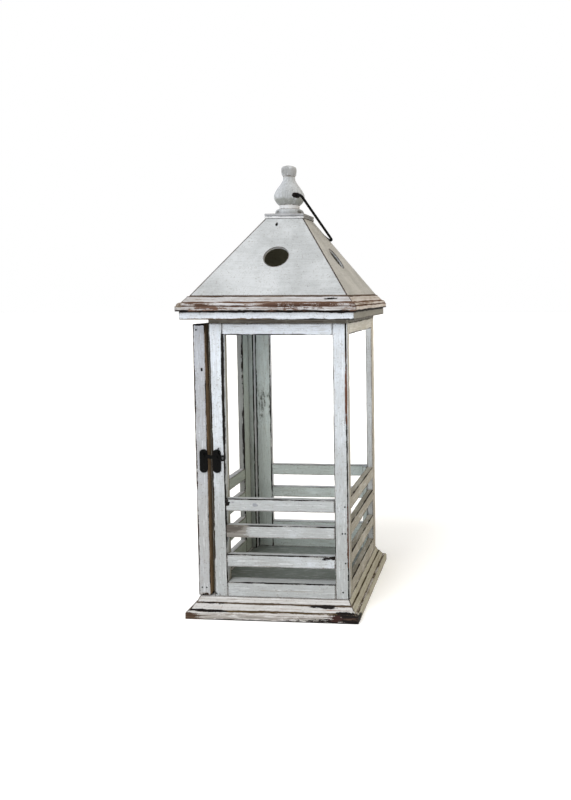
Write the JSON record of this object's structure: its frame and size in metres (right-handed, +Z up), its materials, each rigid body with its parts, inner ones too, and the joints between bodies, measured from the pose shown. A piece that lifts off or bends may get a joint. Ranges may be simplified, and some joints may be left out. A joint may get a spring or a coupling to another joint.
{
  "type": "candle lantern",
  "caption": "Square wooden candle lantern with a hinged slatted door, vented hipped roof, turned finial, wire bail and iron latch, in worn white paint",
  "frame": {"origin": "on the floor, under the middle of the base", "axes": "+Z up, -Y front, -X the door side, +X right"},
  "size_m": [0.255, 0.255, 0.6578],
  "materials": {
    "distressed_white": "chalky white paint on pine, rubbed through to dark wood along the edges",
    "dark_wood": "unpainted dark stained wood",
    "bare_wood": "unpainted sawn pine",
    "black_iron": "black, lightly worn",
    "aged_steel": "dull, darkened"
  },
  "bodies": {
    "lantern": {"apex_block": "bare_wood", "back_bottom_board": "distressed_white", "back_left_stile": "distressed_white", "back_slat_middle": "distressed_white", "back_slat_upper": "distressed_white", "back_top_rail": "distressed_white", "base_board": "distressed_white", "base_moulding_back": "distressed_white", "base_moulding_front": "distressed_white", "base_moulding_left": "distressed_white", "base_moulding_right": "distressed_white", "corner_cleat": "bare_wood", "door_jamb": "distressed_white", "eave_board": "distressed_white", "eave_moulding_back": "distressed_white", "eave_moulding_front": "distressed_white", "eave_moulding_left": "distressed_white", "eave_moulding_right": "distressed_white", "finial": "distressed_white", "finial_screw": "aged_steel", "frame_nails": "aged_steel", "front_bottom_rail": "distressed_white", "front_left_stile": "distressed_white", "front_right_stile": "distressed_white", "front_slat_lower": "distressed_white", "front_slat_middle": "distressed_white", "front_slat_upper": "distressed_white", "front_top_rail": "distressed_white", "hinge_frame_leaves": "aged_steel", "hinge_frame_screws": "aged_steel", "hinge_pins": "aged_steel", "latch_post_plate": "black_iron", "rear_left_post": "distressed_white", "right_bottom_rail": "distressed_white", "right_front_stile": "distressed_white", "right_rear_stile": "distressed_white", "right_slat_lower": "distressed_white", "right_slat_middle": "distressed_white", "right_slat_upper": "distressed_white", "right_top_rail": "distressed_white", "roof_cap": "distressed_white", "roof_panel_back": "distressed_white", "roof_panel_front": "distressed_white", "roof_panel_left": "distressed_white", "roof_panel_right": "distressed_white", "top_plate": "dark_wood"},
    "door": {"door_bottom_rail": "distressed_white", "door_front_stile": "distressed_white", "door_nails": "aged_steel", "door_rear_stile": "distressed_white", "door_slat_lower": "distressed_white", "door_slat_middle": "distressed_white", "door_slat_upper": "distressed_white", "door_top_rail": "distressed_white", "hinge_door_leaves": "aged_steel", "hinge_door_screws": "aged_steel", "latch_door_plate": "black_iron"},
    "latch_lever": {"latch_lever": "black_iron"},
    "bail": {"bail_handle": "black_iron"}
  },
  "joints": [
    {"name": "door_hinge", "type": "hinge", "parent": "lantern", "child": "door", "pos_m": [-0.114, 0.0886, 0.2225], "axis": [0, 0, -1], "range_deg": [0, 175]},
    {"name": "lever_pivot", "type": "hinge", "parent": "door", "child": "latch_lever", "pos_m": [-0.0989, -0.1117, 0.2327], "axis": [0, -1, 0], "range_deg": [0, 100]},
    {"name": "bail_swing", "type": "hinge", "parent": "lantern", "child": "bail", "pos_m": [0, 0, 0.6109], "axis": [0.7071, -0.7071, 0], "range_deg": [0, 262]}
  ]
}
